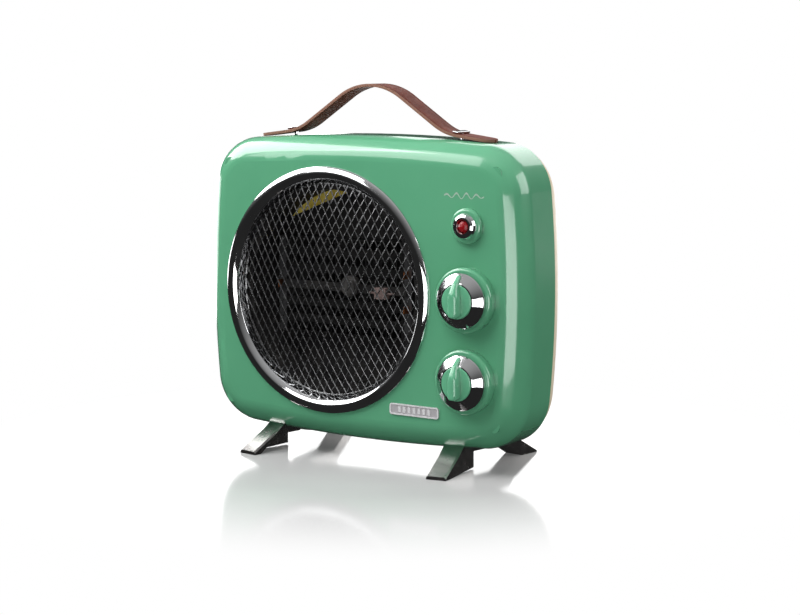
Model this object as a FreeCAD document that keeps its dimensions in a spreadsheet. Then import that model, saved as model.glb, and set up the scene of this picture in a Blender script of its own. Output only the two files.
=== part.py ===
import FreeCAD, Part
import math
import os
import Sketcher
from FreeCAD import Placement, Rotation, Vector

# Free-standing ceramic fan heater. Z is up, X is to the right seen from the front, and the front
# looks along -Y. The origin is on the floor, at the bottom centre of the whole object.

DIMENSIONS = {
    # casing
    "halfWidth": 154, "halfHeight": 123, "centreZ": 139, "sideBulge": 830, "topBulge": 1577,
    "cornerRound": 41, "frontRound": 20, "wall": 2.2, "frontY": -47, "partingY": 3, "domeDepth": 36,
    "domeInset": 60, "coverInset": 1, "lipDepth": 6, "lipWall": 1.6, "lipGap": 0.3,
    "postX": 128, "postZ": 97, "postRadius": 5.5, "postScrewHole": 1.6, "headRecess": 4.3, "headY": 12,
    # round grille
    "ringX": -30, "ringZ": 137, "ringRadius": 100, "ringInner": 88, "ringSeat": 94, "ringProud": 3.6,
    "ringRecess": 3.2,
    "collarDepth": 8, "collarWall": 1.2, "meshRadius": 86.9, "meshRise": 6.5, "meshWire": 0.45,
    "meshPitch": 6.3, "meshAngle": 60, "meshEdgeY": -42.5,
    # heater and its ducts
    "cupRadius": 82, "cupFrontY": -38, "cupBackY": -4, "sheet": 1.2, "flangeRadius": 104.4,
    "ductPostRing": 101, "ductPostRadius": 3.2, "linerRadius": 80,
    "boardY": -12.8, "boardLean": 21.5, "boardEdge": 72.5,
    "coreWidth": 118, "coreDepth": 14, "coreFrontY": -20.4, "finHeight": 9, "stoneHeight": 5,
    "finPitch": 5, "endBlock": 7, "throatRadius": 66, "throatBackY": 14,
    # fan and motor
    "fanRadius": 62, "hubRadius": 16, "fanFrontY": -1, "fanDepth": 12, "shaftRadius": 2.5,
    "shaftFrontY": -4, "shaftBackY": 35, "stackFrontY": 18, "stackDepth": 13, "rotorRadius": 12,
    "runningGap": 0.4, "shaftFit": 0.05,
    # controls
    "knobX": 105, "modeZ": 138.5, "thermoZ": 75, "lampZ": 195.5, "bossRadius": 25.5, "bossHeight": 8,
    "knobGap": 0.8, "skirtRadius": 21.5, "skirtDepth": 7, "capRadius": 13.3, "capDepth": 2.4,
    "gripDepth": 7, "gripWidth": 9, "gripTip": 3.6, "gripRound": 1.6, "spindleRadius": 3,
    "lampBossRadius": 14, "lampBossHeight": 4, "lampBezelRadius": 10, "lensRadius": 4.8,
    "landRound": 2.6,
    # handle
    "strapWidth": 20.6, "strapThick": 2.4, "strapY": -17, "strapEndX": 111.5, "strapBendX": 70.8,
    "strapPeak": 302.6, "strapSlope": 33.8, "tabSlope": 7.3, "archRound": 52, "bendRound": 49,
    "clipX": 80, "clipBarZ": 264.9, "clipBarLength": 18, "clipTilt": 10, "studRadius": 1.6,
    # feet
    "footX": 92, "footTipY": 71, "footWidth": 17, "footSplay": 8, "footRun": 33, "footBendZ": 20.5,
    "toeHeight": 2.8, "footReach": 53, "rearFootReach": 84, "cheek": 2.5, "frontScrewY": -26,
    "rearScrewY": -8,
    # badge
    "badgeX": 56.3, "badgeZ": 47.2, "badgeWidth": 46, "badgeHeight": 9,
}

doc = FreeCAD.newDocument("CeramicFanHeater")
sheet = doc.addObject("Spreadsheet::Sheet", "Sheet")
for row, (alias, number) in enumerate(DIMENSIONS.items(), start=1):
    sheet.set(f"A{row}", alias)
    sheet.set(f"B{row}", str(number))
    sheet.setAlias(f"B{row}", alias)
doc.recompute()

Y_AXIS = Vector(0, 1, 0)
subparts = []


# ---- helpers: in every text, #name stands for the sheet's cell of that name ----

def link(text):
    return str(text).replace("#", "Sheet.")


def size(text):
    return float(sheet.evalExpression(str(text).replace("#", "")))


def bind(obj, name, text):
    obj.setExpression(name, link(text))


def place(obj, x, y, z, axis=(0, 0, 1), angle=0.0):
    obj.Placement = Placement(Vector(), Rotation(Vector(*axis), angle))
    for name, text in (("x", x), ("y", y), ("z", z)):
        bind(obj, "Placement.Base." + name, text)
    return obj


def box(x, y, z, width, depth, height):
    """A block from its lowest corner."""
    solid = doc.addObject("Part::Box", "Block")
    bind(solid, "Length", width)
    bind(solid, "Width", depth)
    bind(solid, "Height", height)
    return place(solid, x, y, z)


def block(x, y, z, width, depth, height):
    """A block centred on x and z, from y backwards."""
    return box(f"{x} - ({width}) / 2", y, f"{z} - ({height}) / 2", width, depth, height)


def rod(along, radius, length, x, y, z):
    """A cylinder that starts at a point and runs along X, Y or Z."""
    solid = doc.addObject("Part::Cylinder", "Rod")
    bind(solid, "Radius", radius)
    bind(solid, "Height", length)
    turn = {"X": ((0, 1, 0), 90), "Y": ((1, 0, 0), -90), "Z": ((0, 0, 1), 0)}[along]
    return place(solid, x, y, z, *turn)


def fuse(*pieces):
    if len(pieces) == 1:
        return pieces[0]
    joined = doc.addObject("Part::MultiFuse", "Fusion")
    joined.Shapes = list(pieces)
    return joined


def cut(base, *tools):
    result = doc.addObject("Part::Cut", "Cut")
    result.Base = base
    result.Tool = fuse(*tools)
    return result


def common(*pieces):
    result = doc.addObject("Part::MultiCommon", "Common")
    result.Shapes = list(pieces)
    return result


def group(pieces):
    result = doc.addObject("Part::Compound", "Group")
    result.Links = list(pieces)
    return result


def feature(shape):
    result = doc.addObject("Part::Feature", "Shape")
    result.Shape = shape
    return result


def edged(kind, base, text, pick):
    """Round (Part::Fillet) or bevel (Part::Chamfer) the edges that pick accepts."""
    doc.recompute()
    radius = size(text)
    result = doc.addObject(kind, "Edged")
    result.Base = base
    edges = enumerate(base.Shape.Edges, start=1)
    result.Edges = [(number, radius, radius) for number, edge in edges if pick(edge)]
    return result


def rounded(base, text, pick):
    return edged("Part::Fillet", base, text, pick)


def bevelled(base, text, pick):
    return edged("Part::Chamfer", base, text, pick)


def lies(edge, axis, value, slack=0.01):
    """True for an edge that lies in the plane where this coordinate has this value."""
    low = getattr(edge.BoundBox, axis + "Min")
    high = getattr(edge.BoundBox, axis + "Max")
    return abs(low - value) < slack and abs(high - value) < slack


def part(label, obj):
    obj.Label = label
    subparts.append(obj)
    return obj


def sketch_in(body, name, role):
    sketch = body.newObject("Sketcher::SketchObject", name)
    plane = next(item for item in body.Origin.OriginFeatures if item.Role == role)
    sketch.AttachmentSupport = [(plane, "")]
    sketch.MapMode = "FlatFace"
    return sketch


def polygon_sketch(sketch, corners):
    """A closed outline whose corners are held at these distances from the sketch's origin."""
    points = [Vector(size(across), size(up), 0) for across, up in corners]
    count = len(points)
    for number in range(count):
        sketch.addGeometry(Part.LineSegment(points[number], points[(number + 1) % count]), False)
    for number in range(count):
        sketch.addConstraint(Sketcher.Constraint("Coincident", number, 2, (number + 1) % count, 1))
    for number, corner in enumerate(corners):
        for kind, axis, text in (("DistanceX", -2, corner[0]), ("DistanceY", -1, corner[1])):
            if text == "0":
                sketch.addConstraint(Sketcher.Constraint("PointOnObject", number, 1, axis))
                continue
            index = sketch.addConstraint(Sketcher.Constraint(kind, -1, 1, number, 1, size(text)))
            bind(sketch, f"Constraints[{index}]", text)


def turned(profile, x, y, z):
    """A body turned about a Y axis through (x, y, z). The profile holds radius and depth."""
    body = doc.addObject("PartDesign::Body", "Turned")
    sketch = sketch_in(body, "Profile", "XY_Plane")
    polygon_sketch(sketch, profile)
    turning = body.newObject("PartDesign::Revolution", "Turning")
    turning.Profile = sketch
    turning.ReferenceAxis = (sketch, ["V_Axis"])
    turning.Angle = 360
    body.Tip = turning
    return place(body, x, y, z)


def padded(outline, thickness, x, y, z, axis=(0, 0, 1), angle=0.0):
    """A body padded backwards along Y from an outline of width and height."""
    body = doc.addObject("PartDesign::Body", "Padded")
    sketch = sketch_in(body, "Outline", "XZ_Plane")
    polygon_sketch(sketch, outline)
    pad = body.newObject("PartDesign::Pad", "Pad")
    pad.Profile = sketch
    pad.Reversed = True
    bind(pad, "Length", thickness)
    body.Tip = pad
    return place(body, x, y, z, axis, angle)


# ---- casing ----

def bulged_block(inset, front, back, front_round):
    """The casing's outline, bowed on all four sides, run from front to back."""
    length = f"{back} - ({front})"
    side = f"#sideBulge - ({inset})"
    crown = f"#topBulge - ({inset})"
    walls = [rod("Y", side, length, f"{sign} * (#sideBulge - #halfWidth)", front, "#centreZ")
             for sign in (-1, 1)]
    walls += [rod("Y", crown, length, "0", front, f"#centreZ + {sign} * (#topBulge - #halfHeight)")
              for sign in (-1, 1)]
    blank = common(*walls)
    blank = rounded(blank, f"#cornerRound - ({inset})",
                    lambda edge: not lies(edge, "Y", size(front)) and not lies(edge, "Y", size(back)))
    return rounded(blank, front_round, lambda edge: lies(edge, "Y", size(front)))


def outline(inset, y):
    """One closed outline of the casing, this far inside the widest one."""
    half_width = size("#halfWidth") - inset
    half_height = size("#halfHeight") - inset
    corner = size("#cornerRound")
    side = size("#sideBulge")
    crown = size("#topBulge")
    # the centre of the corner arc is equally far inside the side arc and the crown arc
    side_centre = half_width - side
    crown_centre = half_height - crown
    gap = math.hypot(side_centre, crown_centre)
    near = ((side - corner) ** 2 - (crown - corner) ** 2 + gap ** 2) / (2 * gap)
    across = math.sqrt((side - corner) ** 2 - near ** 2)
    along = (-side_centre / gap, crown_centre / gap)
    corner_x = side_centre + near * along[0] - across * along[1]
    corner_z = near * along[1] + across * along[0]
    start = math.atan2(corner_z, corner_x - side_centre)
    end = math.atan2(corner_z - crown_centre, corner_x)

    def at(x, z):
        return Vector(x, y, size("#centreZ") + z)

    def on_corner(angle, sign_x, sign_z):
        return at(sign_x * (corner_x + corner * math.cos(angle)),
                  sign_z * (corner_z + corner * math.sin(angle)))

    edges = []
    for sign_x, sign_z, first, last in ((1, 1, start, end), (-1, 1, end, start),
                                        (-1, -1, start, end), (1, -1, end, start)):
        middle = (first + last) / 2
        corner_ends = [on_corner(angle, sign_x, sign_z) for angle in (first, middle, last)]
        edges.append(Part.Arc(*corner_ends).toShape())
        if sign_x == sign_z:
            flat_middle = at(0, sign_z * half_height)
            other = on_corner(end, -sign_x, sign_z)
        else:
            flat_middle = at(sign_x * half_width, 0)
            other = on_corner(start, sign_x, -sign_z)
        edges.append(Part.Arc(corner_ends[2], flat_middle, other).toShape())
    return Part.Wire(edges)


def dome(inset, y_shift):
    """The rear cover's solid: an elliptic shoulder that ends in a flat back."""
    stations = 7
    wires = []
    for number in range(stations):
        angle = math.radians(90) * number / (stations - 1)
        shoulder = size("#domeInset") * (1 - math.cos(angle))
        depth = (size("#domeDepth") + y_shift) * math.sin(angle)
        wires.append(outline(size("#coverInset") + inset + shoulder, size("#partingY") + depth))
    return feature(Part.makeLoft(wires, True, False))


POSTS = [(sign_x, sign_z) for sign_x in (-1, 1) for sign_z in (-1, 1)]
RING_ANGLES = (45, 135, 225, 315)


def post_at(signs):
    return f"{signs[0]} * #postX", f"#centreZ + {signs[1]} * #postZ"


def around_ring(angle, radius):
    turn = math.radians(angle)
    return f"#ringX + {math.cos(turn):.4f} * {radius}", f"#ringZ + {math.sin(turn):.4f} * {radius}"


FOOT_SIGNS = [("left", "front", -1, -1), ("right", "front", 1, -1),
              ("left", "rear", -1, 1), ("right", "rear", 1, 1)]


def foot_screw_spots():
    """Where the foot screws pass through the floor of the casing."""
    front = "#footX - (#footTipY + #frontScrewY) * sin(#footSplay)"
    rear = "#footX - (#footTipY - #rearScrewY) * sin(#footSplay)"
    return [(f"{side} * ({x})", y) for side in (-1, 1) for x, y in ((front, "#frontScrewY"),
                                                                   (rear, "#rearScrewY"))]


def front_housing():
    outer = bulged_block("0", "#frontY", "#partingY", "#frontRound")
    inner = bulged_block("#wall", "#frontY + #wall", "#partingY + 1", "#frontRound - #wall")
    lands = [rod("Y", "#bossRadius", "#bossHeight + 2", "#knobX", "#frontY - #bossHeight", z)
             for z in ("#modeZ", "#thermoZ")]
    lands.append(rod("Y", "#lampBossRadius", "#lampBossHeight + 2", "#knobX",
                     "#frontY - #lampBossHeight", "#lampZ"))
    skin = fuse(outer, *lands)
    doc.recompute()

    rims = (size("#frontY - #bossHeight"), size("#frontY - #lampBossHeight"))
    skin = rounded(skin, "#landRound", lambda edge: any(lies(edge, "Y", rim) for rim in rims))
    holes = [rod("Y", "#ringSeat", "20", "#ringX", "#frontY - 5", "#ringZ")]
    holes += [rod("Y", "#spindleRadius + 3", "20", "#knobX", "#frontY - #bossHeight - 1", z)
              for z in ("#modeZ", "#thermoZ")]
    holes.append(rod("Y", "6.2", "20", "#knobX", "#frontY - #lampBossHeight - 1", "#lampZ"))
    holes += [rod("Z", "2.1", "8", x, y, "#centreZ - #halfHeight - 2") for x, y in foot_screw_spots()]
    roof = "#centreZ + #halfHeight - 10"
    holes += [rod("Z", "#studRadius + 0.3", "12", f"{side} * #clipX", "#strapY", roof)
              for side in (-1, 1)]
    shell = cut(skin, inner, *holes)
    posts = []
    for signs in POSTS:
        x, z = post_at(signs)
        depth = "#partingY - #lipDepth - #frontY - 3"
        posts.append(cut(rod("Y", "#postRadius", depth, x, "#frontY + 1.8", z),
                         rod("Y", "#postScrewHole", depth, x, "#frontY + 12", z)))
    for angle in RING_ANGLES:
        x, z = around_ring(angle, "#ductPostRing")
        length = "#cupFrontY - #frontY - #wall + 1"
        posts.append(cut(rod("Y", "#ductPostRadius", length, x, "#frontY + #wall - 1", z),
                         rod("Y", "1.3", length, x, "#frontY + #wall + 1", z)))
    part("front_housing", fuse(shell, *posts))
    return outer


def rear_cover():
    outer = dome(0, 0)
    inner = dome(size("#wall"), -size("#wall"))
    lip_inset = size("#wall + #lipGap")
    lip_front = size("#partingY - #lipDepth")
    lip_length = Vector(0, size("#lipDepth") + 0.4, 0)
    lip_outer = Part.Face(outline(lip_inset, lip_front)).extrude(lip_length)
    lip_inner = Part.Face(outline(lip_inset + size("#lipWall"), lip_front)).extrude(lip_length)
    lip = feature(lip_outer.cut(lip_inner))
    wells = []
    bores = []
    for signs in POSTS:
        x, z = post_at(signs)
        wells.append(rod("Y", "#postRadius", "50", x, "#partingY - #lipDepth + 4", z))
        bores.append(rod("Y", "1.9", "60", x, "#partingY - #lipDepth", z))
        bores.append(rod("Y", "#headRecess", "60", x, "#headY", z))
    back_y = "#partingY + #domeDepth - #wall - 2"
    slots = [block("#ringX", back_y, f"#ringZ + {10 * number}", "130", "10", "5")
             for number in range(-5, 6)]
    ribs = [block(f"#ringX + {offset}", back_y, "#ringZ", "3.5", "10", "130") for offset in (-28, 0, 28)]
    intake = cut(common(rod("Y", "57", "8", "#ringX", back_y, "#ringZ"), fuse(*slots)), *ribs)
    gland_hole = rod("Y", "6.2", "12", "80", "#partingY + #domeDepth - 8", "90")
    skin = cut(outer, inner)
    body = fuse(skin, lip, common(fuse(*wells), outer))
    part("rear_cover", cut(body, intake, gland_hole, *bores))
    return outer


# ---- round grille ----

def grille():
    collar = "#ringInner - #collarWall + 0.4"
    rim = "#ringProud + #ringRecess"
    part("grille_bezel", turned([
        ("#ringRadius", "#ringProud"), ("#ringRadius", "2.7"), ("#ringRadius - 0.35", "1.95"),
        ("#ringRadius - 1.1", "1.2"), ("#ringRadius - 2.1", "0.62"), ("#ringRadius - 3.3", "0.2"),
        ("#ringRadius - 4.6", "0"), ("#ringRadius - 5.6", "0.15"), ("#ringRadius - 6.8", "0.6"),
        ("#ringRadius - 8.2", "1.3"), ("#ringRadius - 9.5", "2.15"), ("#ringRadius - 10.6", "3.1"),
        ("#ringInner + 0.6", "4.2"), ("#ringInner + 0.15", f"{rim} - 1.2"), (collar, f"{rim} + 0.2"),
        (collar, "#ringProud + #collarDepth"), ("#ringInner + 0.4", "#ringProud + #collarDepth"),
        ("#ringInner + 0.4", f"{rim} + 1.4"), ("#ringSeat - 0.5", "#ringProud + 1.3"),
        ("#ringSeat - 0.5", "#ringProud")], "#ringX", "#frontY - #ringProud", "#ringZ"))
    part("grille_retainer", cut(
        rod("Y", "#ringSeat + 3.2", "#cupFrontY - #frontY - #wall", "#ringX", "#frontY + #wall", "#ringZ"),
        rod("Y", "#ringSeat + 1.4", "#ringRecess + 1.6 - #wall", "#ringX", "#frontY + #wall", "#ringZ"),
        rod("Y", "#ringInner + 0.7", "20", "#ringX", "#frontY", "#ringZ")))
    part("grille_mesh", feature(mesh_wires()))


def mesh_wires():
    """Two crossing layers of wires, each wire an arc of a shallow ball."""
    edge_radius = size("#meshRadius")
    rise = size("#meshRise")
    ball = (edge_radius ** 2 + rise ** 2) / (2 * rise)
    wire = size("#meshWire")
    middle = Vector(size("#ringX"), size("#meshEdgeY") - rise + ball, size("#ringZ"))
    pieces = []
    count = int((edge_radius - 3) / size("#meshPitch"))
    for layer, lean in ((0, size("#meshAngle")), (1, -size("#meshAngle"))):
        along = Vector(math.cos(math.radians(lean)), 0, math.sin(math.radians(lean)))
        across = Vector(-along.z, 0, along.x)
        layer_ball = ball + layer * (2 * wire + 0.05)
        for number in range(-count, count + 1):
            offset = number * size("#meshPitch")
            reach = math.sqrt(edge_radius ** 2 - offset ** 2)
            radius = math.sqrt(layer_ball ** 2 - offset ** 2)

            def on_ball(run):
                lift = math.sqrt(radius ** 2 - run ** 2)
                return middle + across * offset + along * run - Y_AXIS * lift

            path = Part.Wire([Part.Arc(on_ball(-reach), on_ball(0), on_ball(reach)).toShape()])
            tangent = path.Edges[0].tangentAt(path.Edges[0].FirstParameter)
            section = Part.Wire([Part.makeCircle(wire, on_ball(-reach), tangent)])
            pieces.append(path.makePipeShell([section], True, False))
    rim_tube = 1.1
    rim = Part.makeTorus(edge_radius - rim_tube, rim_tube)
    rim.Placement = Placement(Vector(size("#ringX"), size("#meshEdgeY") + 1.8, size("#ringZ")),
                              Rotation(Vector(1, 0, 0), 90))
    return Part.makeCompound(pieces + [rim])


# ---- heater ----

def screws(label, spots, head, shank, along="Y"):
    """Round-headed screws, one solid each. Head and shank hold radius, length and where they start."""
    pieces = []
    for x, y, z in spots:
        if along == "Y":
            pieces.append(fuse(rod("Y", head[0], head[1], x, f"{y} + {head[2]}", z),
                               rod("Y", shank[0], shank[1], x, f"{y} + {shank[2]}", z)))
        else:
            pieces.append(fuse(rod("Z", head[0], head[1], x, y, f"{z} + {head[2]}"),
                               rod("Z", shank[0], shank[1], x, y, f"{z} + {shank[2]}")))
    return part(label, group(pieces))


def fin_rows():
    """Six corrugated rows, each a block with a row of windows that the air goes through."""
    width = size("#coreWidth")
    height = size("#finHeight")
    depth = size("#coreDepth")
    pitch = size("#finPitch")
    foil = 0.8
    rows = []
    for number in range(6):
        low = size("#ringZ") + (number - 3) * height + (number - 2.5) * size("#stoneHeight")
        corner = Vector(size("#ringX") - width / 2, size("#coreFrontY"), low)
        row = Part.makeBox(width, depth, height, corner)
        windows = [Part.makeBox(pitch - foil, depth + 2, height - 2 * foil,
                                corner + Vector(foil + step * pitch, -1, foil))
                   for step in range(int(width / pitch))]
        rows.append(row.cut(Part.makeCompound(windows)))
    return Part.makeCompound(rows)


def heater():
    part("heater_cup", cut(
        fuse(rod("Y", "#cupRadius", "#cupBackY - #cupFrontY", "#ringX", "#cupFrontY", "#ringZ"),
             rod("Y", "#flangeRadius", "#sheet", "#ringX", "#cupFrontY", "#ringZ")),
        rod("Y", "#cupRadius - #sheet", "#cupBackY - #cupFrontY - #sheet", "#ringX", "#cupFrontY", "#ringZ"),
        rod("Y", "#throatRadius + 0.4", "60", "#ringX", "#cupFrontY", "#ringZ"),
        *[rod("Y", "1.7", "8", x, "#cupFrontY - 2", z) for x, z in ring_posts()]))
    screws("cup_screws", [(x, "#cupFrontY + #sheet", z) for x, z in ring_posts()],
           ("3", "1.8", "0"), ("1.3", "5", "0 - 5"))
    beyond = box("0", "0", "0", "160", "4", "20")
    place(beyond, "#ringX - 80 * cos(#boardLean) - #boardEdge * sin(#boardLean)", "#boardY - 1",
          "#ringZ - 80 * sin(#boardLean) + #boardEdge * cos(#boardLean)", (0, 1, 0), -size("#boardLean"))
    part("mica_board", common(rod("Y", "#linerRadius + 0.2", "0.8", "#ringX", "#boardY", "#ringZ"), beyond))
    stack = "(6 * #finHeight + 5 * #stoneHeight)"
    part("heater_baffle", cut(
        rod("Y", "#linerRadius - 0.2", "#sheet", "#ringX", "#coreFrontY + #coreDepth", "#ringZ"),
        block("#ringX", "#coreFrontY", "#ringZ", "#coreWidth - 3", "40", f"{stack} - 3")))
    part("heater_fins", feature(fin_rows()))
    part("ceramic_elements", group([
        block("#ringX", "#coreFrontY", f"#ringZ + {number} * (#finHeight + #stoneHeight)",
              "#coreWidth", "#coreDepth", "#stoneHeight") for number in range(-2, 3)]))
    for name, side in (("left", -1), ("right", 1)):
        end_x = f"#ringX + {side} * (#coreWidth / 2 + #endBlock / 2)"
        part(f"heater_end_{name}", block(end_x, "#coreFrontY", "#ringZ", "#endBlock", "#coreDepth", stack))
    part("element_terminals", group([
        block(f"#ringX + {side} * (#coreWidth / 2 + #endBlock / 2)", "#coreFrontY - 6",
              f"#ringZ + {row} * (#finHeight + #stoneHeight)", "0.8", "6", "6")
        for side, row in ((-1, 0), (1, 1), (1, -1))]))
    strip_y = "#coreFrontY - 1.2"
    part("sensor_bracket", block("#ringX", strip_y, "#ringZ", "#coreWidth + 5", "1.2", "7"))
    part("thermal_cutout", fuse(
        rod("Y", "8.5", "4.5", "#ringX + 9", f"{strip_y} - 4.5", "#ringZ + 2"),
        rod("Y", "6", "2", "#ringX + 9", f"{strip_y} - 6.5", "#ringZ + 2")))
    part("thermal_fuse", fuse(
        block("#ringX + 40", f"{strip_y} - 6", "#ringZ - 2", "11", "6", "9"),
        rod("X", "1", "24", "#ringX + 28.2", f"{strip_y} - 3", "#ringZ - 2")))


def ring_posts():
    return [around_ring(angle, "#ductPostRing") for angle in RING_ANGLES]


# ---- fan and motor ----

def blades():
    """Seven flat blades, pitched about their own radius."""
    count = 7
    chord = 32
    thick = 1.8
    axis_point = Vector(size("#ringX"), size("#fanFrontY + #fanDepth / 2"), size("#ringZ"))
    pieces = []
    for number in range(count):
        blade = Part.makeBox(size("#fanRadius - #hubRadius") + 2, thick, chord,
                             Vector(size("#hubRadius") - 2, -thick / 2, -chord / 2))
        blade.rotate(Vector(), Vector(1, 0, 0), 66)
        blade.rotate(Vector(), Y_AXIS, 360 * number / count)
        blade.translate(axis_point)
        pieces.append(blade)
    return feature(Part.makeCompound(pieces))


def fan_and_motor():
    ring = ("#ringX", "#ringZ")
    part("air_duct", cut(
        fuse(rod("Y", "#throatRadius + #sheet", "#throatBackY - #cupBackY", ring[0], "#cupBackY", ring[1]),
             rod("Y", "#throatRadius + 9", "#sheet", ring[0], "#cupBackY", ring[1])),
        rod("Y", "#throatRadius", "60", ring[0], "#cupBackY - 5", ring[1])))
    swept = rod("Y", "#fanRadius", "#fanDepth", ring[0], "#fanFrontY", ring[1])
    hub = rod("Y", "#hubRadius", "#fanDepth", ring[0], "#fanFrontY", ring[1])
    bore = rod("Y", "#shaftRadius", "60", ring[0], "#shaftFrontY - 5", ring[1])
    part("fan_impeller", cut(fuse(hub, common(blades(), swept)), bore))
    part("fan_clip", cut(rod("Y", "6", "1.5", ring[0], "#fanFrontY - 1.5", ring[1]),
                         rod("Y", "#shaftRadius", "9", ring[0], "#fanFrontY - 5", ring[1])))
    part("motor_shaft", rod("Y", "#shaftRadius", "#shaftBackY - #shaftFrontY", ring[0], "#shaftFrontY",
                            ring[1]))
    part("motor_rotor", cut(rod("Y", "#rotorRadius", "#stackDepth - 1", ring[0], "#stackFrontY + 0.5",
                                ring[1]),
                            rod("Y", "#shaftRadius", "30", ring[0], "#stackFrontY - 5", ring[1])))
    part("motor_stack", cut(
        block(ring[0], "#stackFrontY", f"{ring[1]} - 12", "40", "#stackDepth", "64"),
        rod("Y", "#rotorRadius + #runningGap", "30", ring[0], "#stackFrontY - 5", ring[1]),
        block(ring[0], "#stackFrontY - 5", f"{ring[1]} - 26", "25", "30", "16")))
    part("coil_former", cut(
        fuse(*[block(f"{ring[0]} + {side} * 11.3", "#stackFrontY - 4.4", f"{ring[1]} - 39", "1.4",
                     "#stackDepth + 8.8", "19") for side in (-1, 1)],
             block(ring[0], "#stackFrontY - 1", f"{ring[1]} - 39", "22", "#stackDepth + 2", "12")),
        block(ring[0], "#stackFrontY", f"{ring[1]} - 39", "40", "#stackDepth", "10")))
    part("motor_coil", cut(
        block(ring[0], "#stackFrontY - 4.2", f"{ring[1]} - 39", "21", "#stackDepth + 8.4", "18.4"),
        block(ring[0], "#stackFrontY - 1", f"{ring[1]} - 39", "40", "#stackDepth + 2", "12")))
    arms = [box("0 - 5", "#throatBackY", "0 - 5", "#throatRadius + #sheet + 5", "1.6", "10")
            for angle in RING_ANGLES]
    for arm, angle in zip(arms, RING_ANGLES):
        arm.Placement = Placement(Vector(), Rotation(Y_AXIS, -angle))
        turn = math.radians(angle)
        bind(arm, "Placement.Base.x", f"#ringX + {5 * math.sin(turn):.4f}")
        bind(arm, "Placement.Base.y", "#throatBackY")
        bind(arm, "Placement.Base.z", f"#ringZ - {5 * math.cos(turn):.4f}")
        bind(arm, "Length", "#throatRadius + #sheet")
    spacers = [rod("Y", "2.6", "#stackFrontY - #throatBackY - 1.6", f"{ring[0]} + {side_x * 15}",
                   "#throatBackY + 1.6", f"{ring[1]} + {side_z * 15}")
               for side_x in (-1, 1) for side_z in (-1, 1)]
    part("motor_mount", cut(fuse(rod("Y", "22", "1.6", ring[0], "#throatBackY", ring[1]), *arms, *spacers),
                            rod("Y", "5", "30", ring[0], "#throatBackY - 5", ring[1])))
    part("rear_bridge", cut(
        fuse(block(ring[0], "#stackFrontY + #stackDepth + 1.4", ring[1], "38", "1.4", "12"),
             *[block(f"{ring[0]} + {side * 16.5}", "#stackFrontY + #stackDepth", ring[1], "5", "1.4", "12")
               for side in (-1, 1)]),
        rod("Y", "4", "30", ring[0], "#stackFrontY + #stackDepth - 5", ring[1])))
    bushes = [("5", "4", "#throatBackY - 1.4"), ("4", "3.2", "#stackFrontY + #stackDepth + 0.4")]
    part("bearing_bushes", group([
        cut(rod("Y", radius, length, ring[0], start, ring[1]),
            rod("Y", "#shaftRadius + #shaftFit", "20", ring[0], f"{start} - 5", ring[1]))
        for radius, length, start in bushes]))


# ---- controls ----

def knob(name, z):
    """A conical skirt with a round cap and a pointed grip, on a spindle."""
    back = "#frontY - #bossHeight - #knobGap"
    front = f"{back} - #skirtDepth"
    part(f"{name}_knob_skirt", turned([
        ("#skirtRadius - 0.5", "#skirtDepth"), ("#skirtRadius", "#skirtDepth - 0.4"),
        ("#skirtRadius", "#skirtDepth - 1.3"), ("#skirtRadius - 0.6", "#skirtDepth - 1.9"),
        ("#capRadius + 1.6", "0.4"), ("#capRadius + 1", "0"), ("#capRadius + 0.2", "0"),
        ("#capRadius + 0.2", "1.6"), ("#spindleRadius", "1.6"), ("#spindleRadius", "3"),
        ("#capRadius", "3"), ("#skirtRadius - 2.4", "#skirtDepth")], "#knobX", front, z))
    cap_front = f"{front} - #capDepth + 1.6"
    disc = turned([("0", "0"), ("#capRadius - 1.6", "0"), ("#capRadius - 0.5", "0.5"),
                   ("#capRadius", "1.5"), ("#capRadius", "#capDepth"), ("0", "#capDepth")],
                  "#knobX", cap_front, z)
    half = "#gripWidth / 2"
    reach = "#skirtRadius - 0.6"
    # the outlines are measured from a corner left of and below the knob, so that every size is positive
    face = padded([(f"20 - {half}", "20 - #capRadius + 1"), (f"20 + {half}", "20 - #capRadius + 1"),
                   (f"20 + {half}", "26"), ("20 + #gripTip / 2", f"20 + {reach}"),
                   ("20 - #gripTip / 2", f"20 + {reach}"), (f"20 - {half}", "26")],
                  "16", "#knobX - 20", f"{cap_front} - #gripDepth - 1", f"{z} - 20")
    foot_z = size(f"{z} - #capRadius + 1")
    face = rounded(face, "3.6", lambda edge: edge.BoundBox.YLength > 15 and lies(edge, "Z", foot_z))
    side = padded([("0", "0"), ("0", "26"), ("#gripDepth + #capDepth + 2.6", f"20 + {reach}"),
                   ("#gripDepth + #capDepth + 4.8", f"20 + {reach}"),
                   ("#gripDepth + 2", "20 + #capRadius"), ("#gripDepth + 1", "0")],
                  "30", "#knobX + 15", f"{cap_front} - #gripDepth", f"{z} - 20", (0, 0, 1), 90)
    grip = common(face, side)
    rear = size(cap_front) + 0.5
    tip_z = size(f"{z} + {reach}")
    grip = rounded(grip, "#gripRound", lambda edge: edge.BoundBox.YMin < rear and edge.BoundBox.XLength > 0.1
                   and not lies(edge, "Z", tip_z) and not lies(edge, "Z", size(f"{z} + 6"))
                   or lies(edge, "Y", size(cap_front) - size("#gripDepth")) and edge.BoundBox.ZLength > 2)
    bore = rod("Y", "#spindleRadius", "30", "#knobX", f"{front} - 0.2", z)
    skirt = subparts[-1]
    part(f"{name}_knob_cap", cut(fuse(disc, grip), bore, skirt))


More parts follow.
